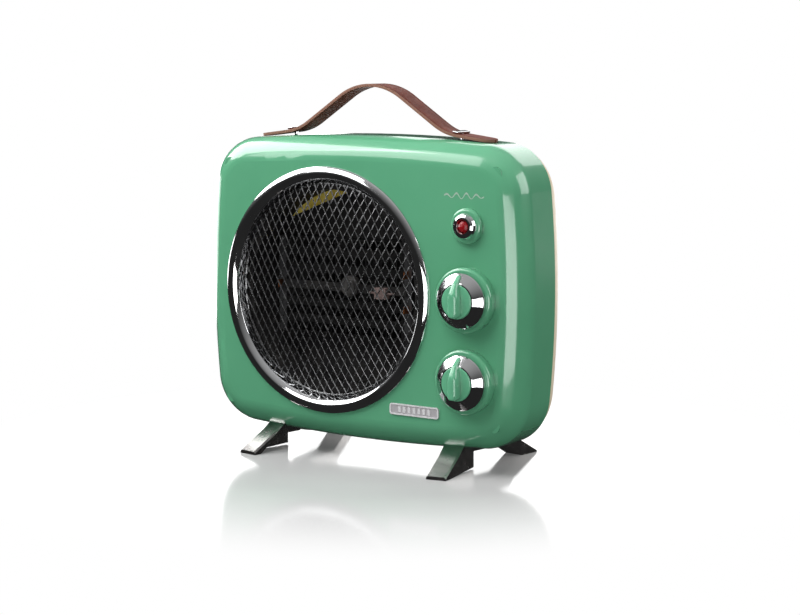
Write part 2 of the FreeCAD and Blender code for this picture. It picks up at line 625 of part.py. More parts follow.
def controls():
    for name, z in (("mode", "#modeZ"), ("thermostat", "#thermoZ")):
        knob(name, z)
        part(f"{name}_spindle", rod("Y", "#spindleRadius", "37", "#knobX",
                                    "#frontY - #bossHeight - #knobGap - #skirtDepth + 0.4", z))
    bracket_y = "#frontY + 7"
    necks = [rod("Y", "4.6", "20", "#knobX", "#frontY", z) for z in ("#modeZ", "#thermoZ")]
    spots = [("#knobX - 14", "#modeZ - 32"), ("#knobX + 14", "#modeZ - 32"), ("#knobX", "#modeZ + 28"),
             ("#knobX", "#thermoZ - 26")]
    part("control_bracket", cut(
        fuse(box("#knobX - 18", bracket_y, "#thermoZ - 31", "36", "1.4", "#modeZ - #thermoZ + 64"),
             *[rod("Y", "3", "7 - #wall", x, "#frontY + #wall", z) for x, z in spots]),
        *[rod("Y", "1.3", "20", x, "#frontY + #wall", z) for x, z in spots], *necks))
    screws("bracket_screws", [(x, f"{bracket_y} + 1.4", z) for x, z in spots],
           ("2.8", "1.6", "0"), ("1.3", "6", "0 - 6"))
    body_y = f"{bracket_y} + 1.4"
    for name, z, case in (("mode_switch", "#modeZ", block("#knobX", body_y, "#modeZ", "34", "19", "34")),
                          ("thermostat", "#thermoZ", rod("Y", "16", "17", "#knobX", body_y, "#thermoZ"))):
        part(name, cut(fuse(case, rod("Y", "4.5", "10", "#knobX", f"{body_y} - 9", z)),
                       rod("Y", "#spindleRadius + #shaftFit", "24.6", "#knobX", f"{body_y} - 9.5", z)))
    nuts = []
    for z in ("#modeZ", "#thermoZ"):
        nut = doc.addObject("Part::Prism", "Nut")
        nut.Polygon = 6
        bind(nut, "Circumradius", "7")
        bind(nut, "Height", "2.4")
        place(nut, "#knobX", f"{bracket_y} - 2.4", z, (1, 0, 0), -90)
        nuts.append(cut(nut, rod("Y", "4.5", "20", "#knobX", "#frontY", z)))
    part("bushing_nuts", group(nuts))


def indicator():
    face = "#frontY - #lampBossHeight"
    part("indicator_bezel", turned([
        ("#lensRadius + 0.2", "0.9"), ("#lensRadius + 0.8", "0"), ("#lampBezelRadius - 2.8", "0.2"),
        ("#lampBezelRadius - 1", "1.3"), ("#lampBezelRadius", "3.2"), ("#lampBezelRadius", "4.2"),
        ("6", "4.2"), ("6", "16"), ("#lensRadius + 0.2", "16")], "#knobX", f"{face} - 4.2", "#lampZ"))
    part("indicator_lens", turned([
        ("0", "0"), ("#lensRadius - 2.4", "0.4"), ("#lensRadius - 0.8", "1.4"), ("#lensRadius", "3"),
        ("#lensRadius", "7"), ("0", "7")], "#knobX", f"{face} - 4.6", "#lampZ"))
    part("neon_lamp", rod("Y", "2.6", "7", "#knobX", f"{face} + 2.6", "#lampZ"))
    part("lamp_holder", rod("Y", "#lensRadius", "11", "#knobX", f"{face} + 9.8", "#lampZ"))


def badge():
    """A plain bordered plate with a row of raised bars in its field."""
    plate = block("#badgeX", "#frontY - 1", "#badgeZ", "#badgeWidth", "1", "#badgeHeight")
    plate = rounded(plate, "2", lambda edge: edge.BoundBox.YLength > 0.9 and edge.BoundBox.ZLength < 0.1)
    field = block("#badgeX", "#frontY - 1.5", "#badgeZ", "#badgeWidth - 2.4", "0.9", "#badgeHeight - 2.4")
    bars = [block(f"#badgeX + {4.6 * number}", "#frontY - 0.9", "#badgeZ", "2.2", "0.6",
                  "#badgeHeight - 4.4") for number in range(-3, 4)]
    part("badge", fuse(cut(plate, field), *bars))


# ---- handle ----

def strap_line(offset):
    """One long side of the strap's profile, this far above its middle line, from right to left."""
    slope = math.radians(size("#strapSlope"))
    tab = math.radians(size("#tabSlope"))
    arch = size("#archRound")
    bend = size("#bendRound")
    up_slope = Vector(math.sin(slope), 0, math.cos(slope))
    up_tab = Vector(math.sin(tab), 0, math.cos(tab))
    top = size("#strapPeak - #strapThick / 2")
    arch_centre = Vector(0, 0, top - arch)
    bend_x = size("#strapBendX")
    corner = Vector(bend_x, 0, top + arch * (1 / math.cos(slope) - 1) - bend_x * math.tan(slope))
    halfway = (up_slope + up_tab).normalize()
    bend_centre = corner + halfway * (bend / math.cos((slope - tab) / 2))
    reach = (size("#strapEndX") - bend_x) / math.cos(tab)
    end = corner + Vector(math.cos(tab), 0, -math.sin(tab)) * reach + up_tab * offset
    return [end, bend_centre - up_tab * (bend - offset), bend_centre - halfway * (bend - offset),
            bend_centre - up_slope * (bend - offset), arch_centre + up_slope * (arch + offset),
            arch_centre + Vector(0, 0, arch + offset)]


def mirrored(point):
    return Vector(-point.x, point.y, point.z)


def strap():
    half = size("#strapThick") / 2
    sides = []
    for offset in (half, -half):
        end, low, bend, high, arch, top = strap_line(offset)
        right = [Part.LineSegment(end, low).toShape(), Part.Arc(low, bend, high).toShape(),
                 Part.LineSegment(high, arch).toShape()]
        left = [Part.LineSegment(mirrored(arch), mirrored(high)).toShape(),
                Part.Arc(mirrored(high), mirrored(bend), mirrored(low)).toShape(),
                Part.LineSegment(mirrored(low), mirrored(end)).toShape()]
        crown = [Part.Arc(arch, top, mirrored(arch)).toShape()]
        sides.append((end, right + crown + left))
    (upper_end, upper), (lower_end, lower) = sides
    caps = [Part.LineSegment(upper_end, lower_end).toShape(),
            Part.LineSegment(mirrored(upper_end), mirrored(lower_end)).toShape()]
    loop = Part.Wire(Part.__sortEdges__(upper + lower + caps))
    width = size("#strapWidth")
    solid = Part.Face(loop).extrude(Vector(0, width, 0))
    short = [edge for edge in solid.Edges if abs(edge.Length - 2 * half) < 0.01 and
             abs(abs(edge.BoundBox.Center.x) - size("#strapEndX")) < 2 * half]
    solid = solid.makeFillet(width / 2 - 1, short)
    solid.translate(Vector(0, size("#strapY") - width / 2, 0))
    hole_radius = size("#studRadius + 0.1")
    holes = [Part.makeCylinder(hole_radius, 20, Vector(side * size("#clipX"), size("#strapY"), 255))
             for side in (-1, 1)]
    return solid.cut(Part.makeCompound(holes))


def handle():
    part("handle_strap", feature(strap()))
    for name, side in (("left", -1), ("right", 1)):
        bar = box("0", "0", "0", "5", "#clipBarLength", "1.8")
        tilt = size("#clipTilt")
        place(bar, f"{side} * #clipX - 2.5 * cos({tilt})", "#strapY - #clipBarLength / 2",
              f"#clipBarZ + {side} * 2.5 * sin({tilt})", (0, 1, 0), side * tilt)
        bar = rounded(bar, "0.8", lambda edge: edge.Length > 10 or abs(edge.Length - 5) < 0.01)
        stud = rod("Z", "#studRadius", "12.5", f"{side} * #clipX", "#strapY", "#clipBarZ - 12")
        part(f"strap_clip_{name}", fuse(bar, stud))
    part("clip_nuts", group([
        cut(rod("Z", "3.4", "2.2", f"{side} * #clipX", "#strapY", "#clipBarZ - 9.7"),
            rod("Z", "#studRadius", "10", f"{side} * #clipX", "#strapY", "#clipBarZ - 14"))
        for side in (-1, 1)]))


# ---- feet ----

def foot_profile(end):
    """The foot seen from its side: across runs from the toe towards the casing."""
    slope = [("0", "0"), ("0", "#toeHeight"), ("#footRun", "#footBendZ")]
    if end == "front":
        return slope + [("#footRun + 5", "24"), ("#footReach", "24"), ("#footReach", "13.5"),
                        ("#footRun + 1", "13.5"), ("#footRun - 2", "16"), ("7", "0")]
    return slope + [("#footRun + 3", "24"), ("#rearFootReach", "24"), ("#rearFootReach", "12.5"),
                    ("#footRun + 9", "12.5"), ("20", "0")]


def cheek_profile():
    return [("0", "0"), ("0", "#toeHeight"), ("#footRun", "#footBendZ"), ("#footRun + 5", "24"),
            ("#footReach", "24"), ("#footReach", "1.2"), ("12", "0")]


def foot_plate(profile, thick, x, y, angle):
    body = padded(profile, thick, x, y, "0", (0, 0, 1), angle)
    body.Tip.Midplane = True
    return body


def feet(casing, cover):
    splay = size("#footSplay")
    for side_name, end_name, side, end in FOOT_SIGNS:
        angle = -end * (90 + side * splay)
        leg = foot_plate(foot_profile(end_name), "#footWidth", f"{side} * #footX",
                         f"{end} * #footTipY", angle)
        pieces = [leg]
        if end_name == "front":
            shift = "(#footWidth - #cheek) / 2"
            pieces.append(foot_plate(cheek_profile(), "#cheek",
                                     f"{side} * (#footX + {shift} * cos(#footSplay))",
                                     f"{end} * #footTipY + {shift} * sin(#footSplay)", angle))
        screw_y = "#frontScrewY" if end_name == "front" else "#rearScrewY"
        run = f"#footTipY - {end} * ({screw_y})"
        hole = rod("Z", "1.5", "20", f"{side} * (#footX - ({run}) * sin(#footSplay))", screw_y, "10")
        solid = cut(fuse(*pieces), casing, cover, hole)
        low = size("#toeHeight")
        high = size("#footBendZ")
        solid = bevelled(solid, "1.3", lambda edge: abs(edge.BoundBox.ZMin - low) < 0.01 and
                         abs(edge.BoundBox.ZMax - high) < 0.01)
        part(f"foot_{end_name}_{side_name}", solid)
    screws("foot_screws", [(x, y, "#centreZ - #halfHeight + #wall + 2.75") for x, y in foot_screw_spots()],
           ("3.4", "2", "0"), ("1.5", "9", "0 - 9"), "Z")


# ---- rear and base fittings ----

def fittings():
    for_cover = []
    for signs in POSTS:
        x, z = post_at(signs)
        for_cover.append((x, "#headY", z))
    screws("cover_screws", for_cover, ("3.6", "2.4", "0"), ("1.6", "22", "0 - 22"))
    part("cable_gland", fuse(
        rod("Y", "9", "3", "80", "#partingY + #domeDepth", "90"),
        rod("Y", "6", "12", "80", "#partingY + #domeDepth - 9", "90"),
        rod("Y", "7", "3", "80", "#partingY + #domeDepth + 3", "90")))
    part("terminal_block", box("34", "0 - 30", "#centreZ - #halfHeight + #wall + 2.3", "40", "16", "14"))
    part("tilt_switch", fuse(
        box("0 - 12", "0 - 24", "#centreZ - #halfHeight + #wall + 0.1", "24", "14", "12"),
        rod("Z", "5", "6", "0", "0 - 17", "#centreZ - #halfHeight + #wall + 12")))


casing_solid = front_housing()
cover_solid = rear_cover()
grille()
heater()
fan_and_motor()
controls()
indicator()
badge()
handle()
feet(casing_solid, cover_solid)
fittings()

# ---- checks and export ----

doc.recompute()
for obj in doc.Objects:
    if "Invalid" in obj.State or "Error" in obj.State:
        raise RuntimeError(f"{obj.Label} failed: {obj.State}")
for obj in subparts:
    if obj.Shape.isNull() or not obj.Shape.isValid():
        raise RuntimeError(f"{obj.Label} has no valid shape")

os.makedirs("parts", exist_ok=True)
for obj in subparts:
    obj.Shape.exportStep(f"parts/{obj.Label}.step")
    print(f"{obj.Label:24s} solids {len(obj.Shape.Solids):3d} volume {obj.Shape.Volume:10.1f}")
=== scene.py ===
import math

import bpy
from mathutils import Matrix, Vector


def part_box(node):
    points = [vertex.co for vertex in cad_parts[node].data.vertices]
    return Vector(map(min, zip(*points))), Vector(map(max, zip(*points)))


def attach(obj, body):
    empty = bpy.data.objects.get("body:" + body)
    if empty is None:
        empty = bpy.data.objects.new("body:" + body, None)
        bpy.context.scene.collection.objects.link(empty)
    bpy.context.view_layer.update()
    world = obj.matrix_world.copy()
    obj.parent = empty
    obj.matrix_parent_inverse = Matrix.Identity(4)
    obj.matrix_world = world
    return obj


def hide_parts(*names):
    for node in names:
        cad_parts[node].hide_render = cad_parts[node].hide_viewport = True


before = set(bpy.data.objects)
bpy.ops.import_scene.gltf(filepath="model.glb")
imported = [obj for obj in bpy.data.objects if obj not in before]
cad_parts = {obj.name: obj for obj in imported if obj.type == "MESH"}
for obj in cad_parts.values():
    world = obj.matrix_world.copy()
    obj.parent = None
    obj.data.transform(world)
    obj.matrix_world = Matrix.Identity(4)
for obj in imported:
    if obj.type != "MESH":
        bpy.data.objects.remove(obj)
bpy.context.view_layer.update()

# ---- camera ----
# A long lens looks down a little on the right front corner of the heater, from 1.6 m away.

MM = 0.001
CAMERA_TURN, CAMERA_RISE, CAMERA_DISTANCE = 33.88, 7.27, 1.592
case_middle = Vector((42.65, -47, 128.3)) * MM


def around(azimuth, elevation, distance, centre=case_middle):
    """A point seen from the centre in that direction: azimuth 0 is straight ahead of the heater."""
    turn, rise = math.radians(azimuth), math.radians(elevation)
    out = Vector((math.sin(turn) * math.cos(rise), -math.cos(turn) * math.cos(rise), math.sin(rise)))
    return centre + out * distance


def aimed(thing, spot, centre):
    """Puts a light or camera at the spot and points it at the centre."""
    thing.location = spot
    thing.rotation_euler = (centre - spot).to_track_quat("-Z", "Y").to_euler()


camera_data = bpy.data.cameras.new("camera")
camera_data.lens = 91.1
camera_data.sensor_width = 36
camera = bpy.data.objects.new("camera", camera_data)
bpy.context.scene.collection.objects.link(camera)
aimed(camera, around(CAMERA_TURN, CAMERA_RISE, CAMERA_DISTANCE), case_middle)
bpy.context.scene.camera = camera
bpy.context.scene.view_settings.view_transform = "Standard"

# ---- studio light ----
# Softboxes: one high at the left front that draws the long gleam under the top edge, a low strip at
# the right front for the gleam down the right edge, a small tall one for the top of the ring, one for
# the right side and one for the back. Two fills light the enamel without showing in it.


def softbox(name, azimuth, elevation, distance, width, height, radiance, centre=case_middle):
    data = bpy.data.lights.new(name, "AREA")
    data.shape = "RECTANGLE"
    data.size = width
    data.size_y = height
    data.energy = radiance * math.pi * width * height
    light = bpy.data.objects.new(name, data)
    bpy.context.scene.collection.objects.link(light)
    aimed(light, around(azimuth, elevation, distance, centre), centre)
    light.visible_camera = False
    return light


heater_middle = Vector((0, 0, 0.139))
softbox("left_front_box", -73, 35, 1.5, 1.28, 0.90, 7.0, heater_middle)
softbox("right_front_strip", 31, -5.0, 0.85, 0.66, 0.33, 4.4, heater_middle)
softbox("small_front_box", -33, 37, 1.5, 0.55, 0.95, 3.6, heater_middle)
front_fill = softbox("front_fill", -5, 58, 0.75, 0.50, 0.30, 7.5, heater_middle)
overhead = softbox("overhead_box", 20, 84, 1.5, 1.3, 1.1, 1.8, heater_middle)
softbox("right_side_box", 104, 24, 1.6, 1.2, 0.9, 3.6, heater_middle)
softbox("back_box", 190, 35, 1.8, 1.6, 1.0, 1.8, heater_middle)
for fill in (front_fill, overhead):
    fill.visible_glossy = False

# ---- floor ----
# A white table, a little glossy, that fades into the white of the room. A bright card behind the
# heater, seen in the table only, whitens the reflection all round the heater's own.


class Flow:
    """One output socket of a material's nodes. Sums on it add Math nodes."""

    def __init__(self, tree, socket):
        self.tree = tree
        self.socket = socket

    def node(self, kind, inputs, output=0, **settings):
        """Adds a node of this kind with its settings, then its sockets' values or links."""
        made = self.tree.nodes.new(kind)
        for name, value in settings.items():
            setattr(made, name, value)
        for key, value in inputs.items():
            if isinstance(value, Flow):
                self.tree.links.new(value.socket, made.inputs[key])
            else:
                made.inputs[key].default_value = value
        return Flow(self.tree, made.outputs[output])

    def math(self, operation, *values):
        return self.node("ShaderNodeMath", dict(enumerate(values)), operation=operation)

    def __add__(self, other):
        return self.math("ADD", self, other)

    def __sub__(self, other):
        return self.math("SUBTRACT", self, other)

    def __rsub__(self, other):
        return self.math("SUBTRACT", other, self)

    def __mul__(self, other):
        return self.math("MULTIPLY", self, other)

    __radd__ = __add__

    def size(self):
        """The value without its sign."""
        return self.math("ABSOLUTE", self)

    def above(self, edge, blur):
        """1 where the value is above the edge and 0 below it, over the blur's width on each side."""
        return self.node("ShaderNodeMapRange", {0: self, 1: edge - blur, 2: edge + blur, 3: 0.0, 4: 1.0},
                         interpolation_type="SMOOTHSTEP")

    def spread(self, low, high):
        """A pattern that runs from 0 to 1, taken to run from low to high."""
        return self.node("ShaderNodeMapRange", {0: self, 1: 0.3, 2: 0.7, 3: low, 4: high})

    def axis(self, name):
        return self.node("ShaderNodeSeparateXYZ", {0: self}, output="XYZ".index(name))

    def noise(self, scale, detail=3.0, rough=0.55, stretch=(1, 1, 1)):
        """Cloudy noise with this many cells to the metre."""
        mapped = self.node("ShaderNodeMapping", {"Vector": self, "Scale": stretch})
        return self.node("ShaderNodeTexNoise", {"Vector": mapped, "Scale": scale, "Detail": detail,
                                                "Roughness": rough})

    def cells(self, scale):
        """How far a point is from the edge of its cell, with this many cells to the metre."""
        return self.node("ShaderNodeTexVoronoi", {"Vector": self, "Scale": scale},
                         feature="DISTANCE_TO_EDGE")

    def blend(self, low, high):
        """Colours mixed with this value as the share of the second."""
        mixed = self.tree.nodes.new("ShaderNodeMix")
        mixed.data_type = "RGBA"
        self.tree.links.new(self.socket, mixed.inputs[0])
        for index, colour in ((6, low), (7, high)):
            if isinstance(colour, Flow):
                self.tree.links.new(colour.socket, mixed.inputs[index])
            else:
                mixed.inputs[index].default_value = (*colour, 1)
        return Flow(self.tree, mixed.outputs[2])


def finish_named(name, **values):
    """A new material with plain values on its shader. Returns it, its shader and its coordinates."""
    material = bpy.data.materials.new(name)
    material.use_nodes = True
    tree = material.node_tree
    shader = tree.nodes["Principled BSDF"]
    for socket, value in values.items():
        shader.inputs[socket.replace("_", " ")].default_value = value
    place = tree.nodes.new("ShaderNodeTexCoord").outputs["Object"]
    return material, shader, Flow(tree, place)


def drive(shader, height=None, depth=0.0001, **flows):
    """Links flows to the shader's sockets, and a height pattern of this depth in metres to its bump."""
    for socket, flow in flows.items():
        flow.tree.links.new(flow.socket, shader.inputs[socket.replace("_", " ")])
    if height:
        bump = height.node("ShaderNodeBump", {"Strength": 1.0, "Distance": depth, "Height": height})
        height.tree.links.new(bump.socket, shader.inputs["Normal"])


def dress(material, *names):
    """Gives CAD nodes this material."""
    for name in names:
        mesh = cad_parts[name].data
        if not mesh.materials:
            mesh.materials.append(material)
        for index in range(len(mesh.materials)):
            mesh.materials[index] = material


bpy.ops.object.select_all(action="DESELECT")
bpy.ops.mesh.primitive_plane_add(size=60, location=(0, 0, 0))
floor = bpy.context.object
floor.name = "floor"
floor_white, floor_shader, place = finish_named("white_table", Specular_IOR_Level=0.5)
drive(floor_shader, height=place.noise(30), depth=0.00005)
speckle = place.noise(9).spread(0.40, 0.42)
drive(floor_shader, Roughness=place.noise(4).spread(0.09, 0.12),
      Base_Color=speckle.node("ShaderNodeCombineColor", {0: speckle, 1: speckle, 2: speckle}))
far_off = place.node("ShaderNodeVectorMath", {0: place}, output=1, operation="LENGTH").above(0.26, 0.11)
seen = place.node("ShaderNodeLightPath", {}, output="Is Camera Ray")
glow = place.node("ShaderNodeEmission", {"Color": (1, 1, 1, 1), "Strength": 1.0})
dark = place.node("ShaderNodeBsdfDiffuse", {"Color": (0.25, 0.25, 0.25, 1)})
table = Flow(floor_white.node_tree, floor_shader.outputs[0])
table = place.node("ShaderNodeMixShader", {0: 1 - seen, 1: table, 2: dark})
table = place.node("ShaderNodeMixShader", {0: seen * (0.06 + far_off * 0.94), 1: table, 2: glow})
floor_tree = floor_white.node_tree
floor_tree.links.new(table.socket, floor_tree.nodes["Material Output"].inputs["Surface"])
floor.data.materials.append(floor_white)
floor.visible_glossy = False

CARD_DISTANCE, CARD_WIDTH, CARD_HEIGHT = 0.75, 3.2, 0.27
behind = around(180 + CAMERA_TURN, 0, CARD_DISTANCE, Vector((0, 0, CARD_HEIGHT / 2)))
bpy.ops.object.select_all(action="DESELECT")
bpy.ops.mesh.primitive_plane_add(size=1, location=behind,
                                 rotation=(math.pi / 2, 0, math.radians(CAMERA_TURN)))
card = bpy.context.object
card.name = "white_card"
card.dimensions = (CARD_WIDTH, CARD_HEIGHT, 0)
card_white, card_shader, place = finish_named("glowing_card", Emission_Strength=2.2, Specular_IOR_Level=0.0)
evenness = place.noise(3).spread(0.97, 1.0)
drive(card_shader, Emission_Color=evenness.node("ShaderNodeCombineColor",
                                                {0: evenness, 1: evenness, 2: evenness}))
card.data.materials.append(card_white)
card.visible_camera = False
card.visible_diffuse = False
card.visible_shadow = False

# ---- room ----
# White where the camera looks, dark at the height of the table and brighter towards the ceiling, so
# that the chrome has something dark to mirror.

room = bpy.data.worlds.new("room")
bpy.context.scene.world = room
room.use_nodes = True
room_tree = room.node_tree
sky = Flow(room_tree, room_tree.nodes.new("ShaderNodeTexCoord").outputs["Generated"])
seen = sky.node("ShaderNodeLightPath", {}, output="Is Camera Ray")
ceiling = sky.node("ShaderNodeMapRange", {0: sky.axis("Z"), 1: 0.1, 2: 1.0, 3: 0.02, 4: 0.45})
room_tree.links.new(seen.math("MAXIMUM", seen, ceiling).socket,
                    room_tree.nodes["Background"].inputs["Strength"])
room_tree.nodes["Background"].inputs["Color"].default_value = (1, 1, 1, 1)

# ---- front shell ----
# One deep-drawn steel pressing, sprayed with glossy green stove enamel. The knob lands, the lamp's
# land and the rounded rim are pressed in it.

green, green_shader, place = finish_named("green_enamel_gloss", Metallic=0.0, Coat_Weight=0.85,
                                          Coat_Roughness=0.05, Specular_IOR_Level=0.45)
deep = (0.075, 0.268, 0.148)
fresh = (0.086, 0.292, 0.163)
drive(green_shader, height=place.noise(420, 2.0) + place.noise(90, 1.0), depth=0.000012,
      Base_Color=place.noise(11, 4).spread(0, 1).blend(deep, fresh),
      Roughness=place.noise(60, 4).spread(0.16, 0.24))
dress(green, "front_housing")

# ---- back shell ----
# Moulded cream plastic with a fine spark-eroded grain. It closes the back and carries the air slots.

cream, cream_shader, place = finish_named("cream_moulded_plastic", Metallic=0.0, Specular_IOR_Level=0.4)
drive(cream_shader, height=place.noise(1500, 2.0), depth=0.00004,
      Base_Color=place.noise(14, 4).spread(0, 1).blend((0.66, 0.56, 0.40), (0.71, 0.61, 0.45)),
      Roughness=place.noise(200, 3).spread(0.38, 0.5))
dress(cream, "rear_cover")

# ---- knob skirts, lamp bezel and strap clips ----
# Zinc castings, polished and plated with bright chrome. Faint wiping marks and tiny pits dull the plate,
# which the grille ring shares.

chrome, chrome_shader, place = finish_named("bright_chrome_plate", Metallic=1.0)
smear = place.noise(35, 5, 0.6)
drive(chrome_shader, height=place.noise(260, 2.0), depth=0.000006,
      Base_Color=smear.spread(0, 1).blend((0.72, 0.73, 0.74), (0.83, 0.83, 0.84)),
      Roughness=smear.spread(0.035, 0.085) + place.noise(900, 2).spread(0, 0.03))
dress(chrome, "mode_knob_skirt", "thermostat_knob_skirt", "indicator_bezel",
      "strap_clip_left", "strap_clip_right")

# ---- grille ring ----
# A ring spun from thin sheet and chromed: a rolled bead outside, then a dished throat that runs in to
# the mesh. A folded wall inside clips it to the shell.


def finished_with(piece, kind, **settings):
    """Adds a modifier of this kind with these settings to the active piece, and applies it."""
    added = piece.modifiers.new(kind.lower(), kind)
    for name, value in settings.items():
        setattr(added, name, value)
    bpy.ops.object.modifier_apply(modifier=added.name)


RING_CENTRE = Vector((-30, -50.6, 137)) * MM
RING_PROFILE = ((100, 3.6), (100, 2.9), (99.7, 2.2), (99.1, 1.6), (98.2, 1.05), (97.1, 0.6), (95.8, 0.25),
                (94.6, 0.05), (93.6, 0), (92.7, 0.2), (91.8, 0.65), (90.9, 1.3), (90.0, 2.15),
                (89.2, 3.1), (88.55, 4.3), (88.15, 5.6), (87.2, 7.0), (87.2, 8.0))
bpy.ops.object.select_all(action="DESELECT")
first_radius, first_depth = RING_PROFILE[0]
bpy.ops.mesh.primitive_circle_add(vertices=192, radius=first_radius * MM, rotation=(math.pi / 2, 0, 0),
                                  location=RING_CENTRE + Vector((0, first_depth * MM, 0)))
ring = bpy.context.object
ring.name = "chrome_ring"
bpy.ops.object.mode_set(mode="EDIT")
bpy.ops.mesh.select_all(action="SELECT")
for (radius, depth), (next_radius, next_depth) in zip(RING_PROFILE, RING_PROFILE[1:]):
    bpy.ops.mesh.extrude_edges_move(
        TRANSFORM_OT_translate={"value": (0, (next_depth - depth) * MM, 0)})
    share = next_radius / radius
    bpy.ops.transform.resize(value=(share, 1, share), center_override=RING_CENTRE)
bpy.ops.mesh.select_all(action="SELECT")
bpy.ops.mesh.normals_make_consistent(inside=False)
bpy.ops.object.mode_set(mode="OBJECT")
bpy.ops.object.transform_apply(location=True, rotation=True, scale=True)
finished_with(ring, "SOLIDIFY", thickness=0.6 * MM, offset=-1)
bpy.ops.object.shade_smooth_by_angle(angle=math.radians(50))
ring.data.materials.append(chrome)
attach(ring, "casing")
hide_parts("grille_bezel")

# ---- feet ----
# Zinc castings under the same plate, less finely polished than the ring, so their flanks look grey.
# Each is screwed to the floor of the case from inside.

cast, cast_shader, place = finish_named("plated_castings", Metallic=1.0)
drive(cast_shader, height=place.noise(300, 3), depth=0.00002,
      Base_Color=place.noise(45, 4).spread(0, 1).blend((0.44, 0.42, 0.41), (0.56, 0.54, 0.53)),
      Roughness=place.noise(140, 3).spread(0.2, 0.28))
dress(cast, "foot_front_left", "foot_front_right", "foot_rear_left", "foot_rear_right")

# ---- grille wires ----
# Drawn steel wire, crossed in two layers, welded to a rim and zinc plated: pale, and faintly ribbed
# by the die.

wire, wire_shader, place = finish_named("plated_wire", Metallic=1.0)
drive(wire_shader, height=place.noise(2200, 2), depth=0.00003,
      Base_Color=place.noise(150, 3).spread(0, 1).blend((0.26, 0.265, 0.27), (0.42, 0.42, 0.425)),
      Roughness=place.noise(300, 3).spread(0.20, 0.32))
dress(wire, "grille_mesh")

# ---- steel inside, screws and spindles ----
# Plain and zinc-plated steel, dulled by warmth: the ring's clamp, the motor's iron, brackets and
# screws. The heater's own sheet parts are painted black against the heat.

steel, steel_shader, place = finish_named("heat_dulled_steel", Metallic=0.9)
scale_marks = place.noise(120, 6, 0.65)
drive(steel_shader, height=scale_marks, depth=0.00008,
      Base_Color=scale_marks.spread(0, 1).blend((0.10, 0.096, 0.094), (0.20, 0.192, 0.186)),
      Roughness=place.noise(70, 4).spread(0.35, 0.55))
dress(steel, "grille_retainer", "cup_screws", "thermal_cutout", "motor_shaft",
      "motor_stack", "motor_rotor", "fan_clip", "control_bracket", "bracket_screws", "clip_nuts",
      "foot_screws", "cover_screws", "mode_spindle", "thermostat_spindle")

soot, soot_shader, place = finish_named("black_heatproof_paint", Metallic=0.0, Specular_IOR_Level=0.15)
drive(soot_shader, height=place.noise(900, 4), depth=0.00008,
      Base_Color=place.noise(60, 5).spread(0, 1).blend((0.008, 0.008, 0.009), (0.02, 0.019, 0.018)),
      Roughness=place.noise(150, 3).spread(0.5, 0.75))
dress(soot, "heater_cup", "heater_baffle", "sensor_bracket")

# ---- mica board ----
# A flat segment of golden mica above the heating element, held in the heater's cup. Its flakes lie
# flat and flash at different brightness.

mica, mica_shader, place = finish_named("golden_mica", Metallic=0.35, Specular_IOR_Level=0.6)
flake_edge = place.cells(160).above(0.05, 0.04)
tone = place.noise(50, 5).spread(0, 1)
drive(mica_shader, height=flake_edge + place.noise(300, 4), depth=0.00012,
      Base_Color=tone.blend((0.55, 0.40, 0.05), (0.95, 0.76, 0.16)),
      Roughness=tone.spread(0.25, 0.5))
dress(mica, "mica_board")

# ---- heating element ----
# Dark ceramic stones between rows of folded aluminium strip. Both are coloured near black as painted shade
# for the unlit inside of the duct: the strip far darker than its bare aluminium, the stones darker than
# their own dark grey. Each stone is clamped between two rows, which carry its heat into the air.

fins, fins_shader, place = finish_named("fins_black_as_painted_shade", Metallic=0.0, Specular_IOR_Level=0.15)
# Near-black base colour: painted shade inside the duct, where the aluminium strip itself is bright.
drive(fins_shader, height=place.noise(900, 3), depth=0.00005,
      Base_Color=place.noise(200, 4).spread(0, 1).blend((0.003, 0.003, 0.003), (0.008, 0.008, 0.008)),
      Roughness=place.noise(300, 3).spread(0.4, 0.6))
dress(fins, "heater_fins")

stone, stone_shader, place = finish_named("dark_ceramic_and_painted_shade", Metallic=0.0, Specular_IOR_Level=0.12)
# Near-black base colour: the stone's own dark grey, deepened with painted shade.
drive(stone_shader, height=place.noise(1400, 4), depth=0.00006,
      Base_Color=place.noise(500, 5).spread(0, 1).blend((0.003, 0.003, 0.003), (0.007, 0.007, 0.007)),
      Roughness=place.noise(400, 3).spread(0.6, 0.8))
dress(stone, "ceramic_elements")

# ---- thermal fuse ----
# A ceramic-cased fuse with tinned leads, browned by the heat that it watches over.

fuse_clay, fuse_shader, place = finish_named("browned_fuse_case", Metallic=0.0, Specular_IOR_Level=0.25)
drive(fuse_shader, height=place.noise(900, 3), depth=0.00005,
      Base_Color=place.noise(260, 4).spread(0, 1).blend((0.09, 0.06, 0.055), (0.20, 0.15, 0.14)),
      Roughness=place.noise(300, 3).spread(0.45, 0.65))
dress(fuse_clay, "thermal_fuse")

# ---- black mouldings ----
# Duct, fan, motor mount and switch bodies, moulded in heatproof black plastic with a fine grain.

black, black_shader, place = finish_named("black_moulded_plastic", Metallic=0.0, Specular_IOR_Level=0.4)
drive(black_shader, height=place.noise(1300, 3), depth=0.00005,
      Base_Color=place.noise(80, 4).spread(0, 1).blend((0.014, 0.014, 0.015), (0.028, 0.028, 0.029)),
      Roughness=place.noise(250, 3).spread(0.4, 0.55))
dress(black, "heater_end_left", "heater_end_right", "air_duct", "fan_impeller", "coil_former",
      "motor_mount", "rear_bridge", "mode_switch", "thermostat", "lamp_holder", "cable_gland", "tilt_switch")

# ---- terminal block ----
# Moulded in white nylon with a fine grain. It joins the mains leads to the switch.

white, white_shader, place = finish_named("white_nylon", Metallic=0.0, Specular_IOR_Level=0.45)
drive(white_shader, height=place.noise(1100, 3), depth=0.00004,
      Base_Color=place.noise(60, 4).spread(0, 1).blend((0.62, 0.61, 0.57), (0.72, 0.71, 0.67)),
      Roughness=place.noise(250, 3).spread(0.35, 0.5))
dress(white, "terminal_block")

# ---- motor winding and element terminals ----
# Fine enamelled copper wire, wound in level turns, and copper tabs on the element's ends.

